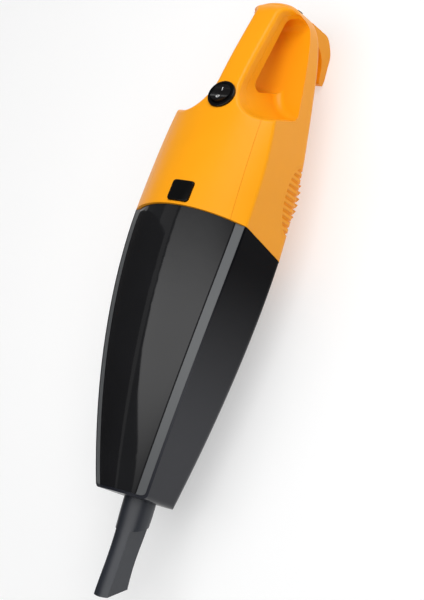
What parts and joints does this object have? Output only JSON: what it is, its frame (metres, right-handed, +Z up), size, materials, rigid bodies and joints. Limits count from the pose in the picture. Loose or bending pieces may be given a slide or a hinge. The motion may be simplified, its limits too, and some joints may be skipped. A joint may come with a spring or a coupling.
{
  "type": "handheld vacuum",
  "caption": "Handheld vacuum cleaner with a loop-handled motor casing, a tapering dust cup under a clear top, a crevice tool and a hanging hook.",
  "frame": {"origin": "under the middle of the machine at the height of the hook's foot", "axes": "+Y from the nozzle to the handle, +Z up, +X to the right side seen from the handle"},
  "size_m": [0.1048, 0.4802, 0.1204],
  "materials": {
    "orange_plastic": "smooth satin orange moulding",
    "dark_plastic": "smooth dark grey moulding",
    "smoked_plastic": "glossy smoked panel",
    "grey_plastic": "fine satin dark grey",
    "black_gloss": "glossy black",
    "black_rocker": "satin black",
    "inner_plastic": "matte inner moulding",
    "black_rubber": "matte rubber",
    "zinc_steel": "plated steel",
    "cast_aluminium": "cast, dull",
    "core_steel": "varnished laminations",
    "copper_wire": "enamelled copper",
    "carbon": "dull graphite",
    "filter_cloth": "pleated felt paper"
  },
  "bodies": {
    "casing": {"lower_casing": "orange_plastic", "upper_casing": "orange_plastic", "vent_grille_right": "orange_plastic", "vent_grille_left": "orange_plastic", "casing_screws": "zinc_steel", "bulkhead": "inner_plastic", "cup_gasket": "black_rubber", "hanging_hook": "orange_plastic", "hook_screws": "zinc_steel", "cord_grommet": "black_rubber", "switch_body": "black_gloss", "button_spring": "zinc_steel", "fan_shroud": "inner_plastic", "diffuser": "inner_plastic", "front_bracket": "cast_aluminium", "rear_bracket": "cast_aluminium", "front_bearing": "zinc_steel", "rear_bearing": "zinc_steel", "field_core": "core_steel", "field_coil_top": "copper_wire", "field_coil_bottom": "copper_wire", "carbon_brushes": "carbon", "brush_holders": "inner_plastic", "motor_bolts": "zinc_steel", "front_mount": "black_rubber", "rear_mount": "black_rubber"},
    "cup": {"dust_cup": "dark_plastic", "top_window": "smoked_plastic", "inlet_duct": "grey_plastic", "flap_pin": "zinc_steel"},
    "flap": {"inlet_flap": "black_rubber"},
    "tool": {"crevice_tool": "grey_plastic"},
    "rotor": {"fan_wheel": "cast_aluminium", "fan_nut": "zinc_steel", "armature": "core_steel", "armature_winding": "copper_wire", "commutator": "copper_wire", "motor_shaft": "zinc_steel"},
    "filter": {"filter_frame": "inner_plastic", "filter_element": "filter_cloth", "filter_cap": "inner_plastic"},
    "button": {"release_button": "black_gloss"},
    "rocker": {"switch_rocker": "black_rocker"}
  },
  "joints": [
    {"name": "rotor_spin", "type": "hinge", "parent": "casing", "child": "rotor", "pos_m": [0, 0.1, 0.0705], "axis": [0, 1, 0], "continuous": true},
    {"name": "button_press", "type": "slide", "parent": "casing", "child": "button", "axis": [0, 0, -1], "range_m": [0, 0.003], "stiffness_N_per_m": 800, "springref_m": -0.002, "deforming": ["button_spring"]},
    {"name": "rocker_tilt", "type": "hinge", "parent": "casing", "child": "rocker", "pos_m": [0, 0.1455, 0.1045], "axis": [1, 0, 0], "range_deg": [0, 20]},
    {"name": "cup_slide", "type": "slide", "parent": "casing", "child": "cup", "axis": [0, -1, 0], "range_m": [0, 0.1]},
    {"name": "tool_pull", "type": "slide", "parent": "cup", "child": "tool", "axis": [0, -1, 0], "range_m": [0, 0.03]},
    {"name": "filter_pull", "type": "slide", "parent": "casing", "child": "filter", "axis": [0, -1, 0], "range_m": [0, 0.025]},
    {"name": "flap_swing", "type": "hinge", "parent": "cup", "child": "flap", "pos_m": [0, -0.1027, 0.0676], "axis": [1, 0, 0], "range_deg": [0, 60]}
  ]
}
